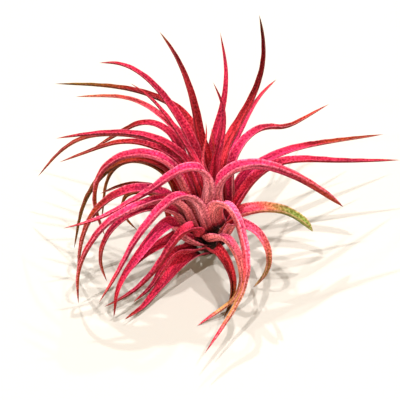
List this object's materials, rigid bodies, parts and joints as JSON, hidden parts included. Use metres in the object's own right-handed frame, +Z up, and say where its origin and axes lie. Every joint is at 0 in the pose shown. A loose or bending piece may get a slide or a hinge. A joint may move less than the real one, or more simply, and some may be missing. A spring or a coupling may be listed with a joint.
{
  "type": "air plant",
  "caption": "Small air plant: a rosette of narrow, tapering, channelled leaves that arch out from one short stem and blush pink to deep red.",
  "frame": {"origin": "centre of the stem's flat foot, on the surface the plant rests on", "axes": "+Z up along the stem, -Y towards the viewer (front), +X to the viewer's right"},
  "size_m": [0.1329, 0.1024, 0.084],
  "materials": {
    "stem": "dull, fibrous plant tissue",
    "pink_leaf": "matte leaf under fine silver hairs",
    "rose_leaf": "matte leaf under fine silver hairs",
    "wine_leaf": "matte leaf under fine silver hairs",
    "olive_leaf": "matte leaf under fine silver hairs"
  },
  "bodies": {
    "root": {"stem": "stem", "leaf_front_left_1": "pink_leaf", "leaf_front_left_2": "pink_leaf", "leaf_front_left_3": "pink_leaf", "leaf_front_left_4": "pink_leaf", "leaf_front_left_5": "pink_leaf", "leaf_front_left_6": "wine_leaf", "leaf_front_left_7": "rose_leaf", "leaf_front_left_8": "rose_leaf", "leaf_front_left_9": "rose_leaf", "leaf_left_1": "pink_leaf", "leaf_left_2": "pink_leaf", "leaf_left_3": "olive_leaf", "leaf_left_4": "pink_leaf", "leaf_left_5": "wine_leaf", "leaf_left_6": "olive_leaf", "leaf_left_7": "rose_leaf", "leaf_left_8": "rose_leaf", "leaf_left_9": "olive_leaf", "leaf_left_10": "rose_leaf", "leaf_back_left_1": "wine_leaf", "leaf_back_left_2": "rose_leaf", "leaf_back_left_3": "rose_leaf", "leaf_back_left_4": "wine_leaf", "leaf_back_left_5": "wine_leaf", "leaf_back_left_6": "wine_leaf", "leaf_back_1": "rose_leaf", "leaf_back_2": "rose_leaf", "leaf_back_3": "rose_leaf", "leaf_back_4": "rose_leaf", "leaf_back_5": "rose_leaf", "leaf_back_6": "wine_leaf", "leaf_right_1": "pink_leaf", "leaf_right_2": "rose_leaf", "leaf_right_3": "rose_leaf", "leaf_right_4": "pink_leaf", "leaf_right_5": "olive_leaf", "leaf_front_1": "pink_leaf", "leaf_front_2": "pink_leaf", "leaf_front_3": "wine_leaf", "leaf_front_4": "rose_leaf", "leaf_back_low_1": "wine_leaf", "leaf_back_low_2": "wine_leaf"}
  },
  "joints": []
}
